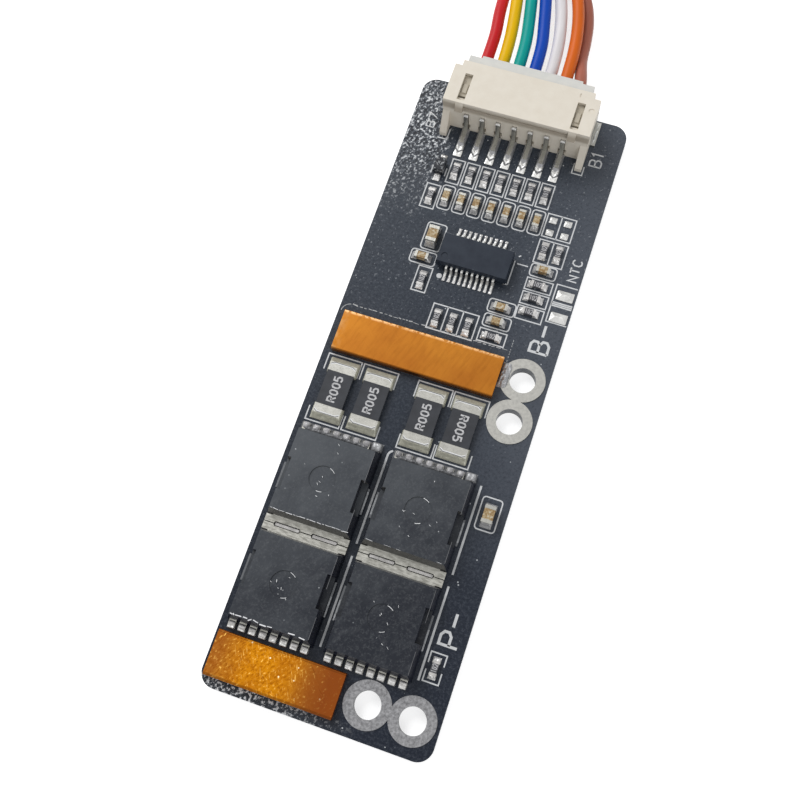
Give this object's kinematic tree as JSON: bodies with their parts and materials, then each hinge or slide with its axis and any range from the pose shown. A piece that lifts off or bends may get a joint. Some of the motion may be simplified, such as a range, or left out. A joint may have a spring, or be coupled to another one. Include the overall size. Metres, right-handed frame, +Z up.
{
  "type": "battery management board",
  "caption": "Slim battery protection board with power transistors, current shunts, copper bars, controller chip, plated terminal holes and a plugged-in sensing lead set",
  "frame": {"origin": "centre of the board's underside", "axes": "+Y along the board towards the cell connector, +X across it towards the terminal holes, +Z up to the parts side"},
  "size_m": [0.026, 0.1484, 0.0098],
  "materials": {
    "laminate": "dark solder mask with white legends under a clear coat",
    "tinned_land": "tinned copper, satin",
    "copper_bar": "copper, lightly tarnished",
    "transistor_mould": "black moulding compound under a clear coat",
    "shunt_coat": "black coating",
    "chip_mould": "black moulding compound",
    "resistor_coat": "black glaze",
    "capacitor_ceramic": "tan ceramic",
    "tinned_lead": "matte tin plating",
    "header_plastic": "ivory moulded nylon",
    "plug_plastic": "milky moulded nylon",
    "wire_red": "smooth insulation",
    "wire_yellow": "smooth insulation",
    "wire_teal": "smooth insulation",
    "wire_blue": "smooth insulation",
    "wire_white": "smooth insulation",
    "wire_orange": "smooth insulation",
    "wire_brown": "smooth insulation",
    "wire_bundle": "bundled insulated wires",
    "tie_plastic": "milky nylon"
  },
  "bodies": {
    "root": {"board": "laminate", "battery_lands": "tinned_land", "load_lands": "tinned_land", "power_lands": "tinned_land", "control_lands": "tinned_land", "sensor_lands": "tinned_land", "battery_bar": "copper_bar", "load_bar": "copper_bar", "mosfet_1_body": "transistor_mould", "mosfet_1_frame": "tinned_lead", "shunt_1_body": "shunt_coat", "shunt_1_ends": "tinned_lead", "mosfet_2_body": "transistor_mould", "mosfet_2_frame": "tinned_lead", "shunt_2_body": "shunt_coat", "shunt_2_ends": "tinned_lead", "mosfet_3_body": "transistor_mould", "mosfet_3_frame": "tinned_lead", "shunt_3_body": "shunt_coat", "shunt_3_ends": "tinned_lead", "mosfet_4_body": "transistor_mould", "mosfet_4_frame": "tinned_lead", "shunt_4_body": "shunt_coat", "shunt_4_ends": "tinned_lead", "controller_body": "chip_mould", "controller_leads": "tinned_lead", "diode_body": "chip_mould", "diode_leads": "tinned_lead", "balance_resistor_bodies": "resistor_coat", "balance_resistor_ends": "tinned_lead", "filter_capacitor_bodies": "capacitor_ceramic", "filter_capacitor_ends": "tinned_lead", "control_resistor_bodies": "resistor_coat", "control_resistor_ends": "tinned_lead", "control_capacitor_bodies": "capacitor_ceramic", "control_capacitor_ends": "tinned_lead", "bulk_capacitor_bodies": "capacitor_ceramic", "bulk_capacitor_ends": "tinned_lead", "header_housing": "header_plastic", "header_pins": "tinned_lead", "header_anchors": "tinned_lead", "plug_housing": "plug_plastic", "plug_contacts": "tinned_lead", "wire_red": "wire_red", "wire_yellow": "wire_yellow", "wire_teal": "wire_teal", "wire_blue": "wire_blue", "wire_white": "wire_white", "wire_orange": "wire_orange", "wire_brown": "wire_brown", "wire_hank": "wire_bundle", "hank_tie": "tie_plastic"}
  },
  "joints": []
}
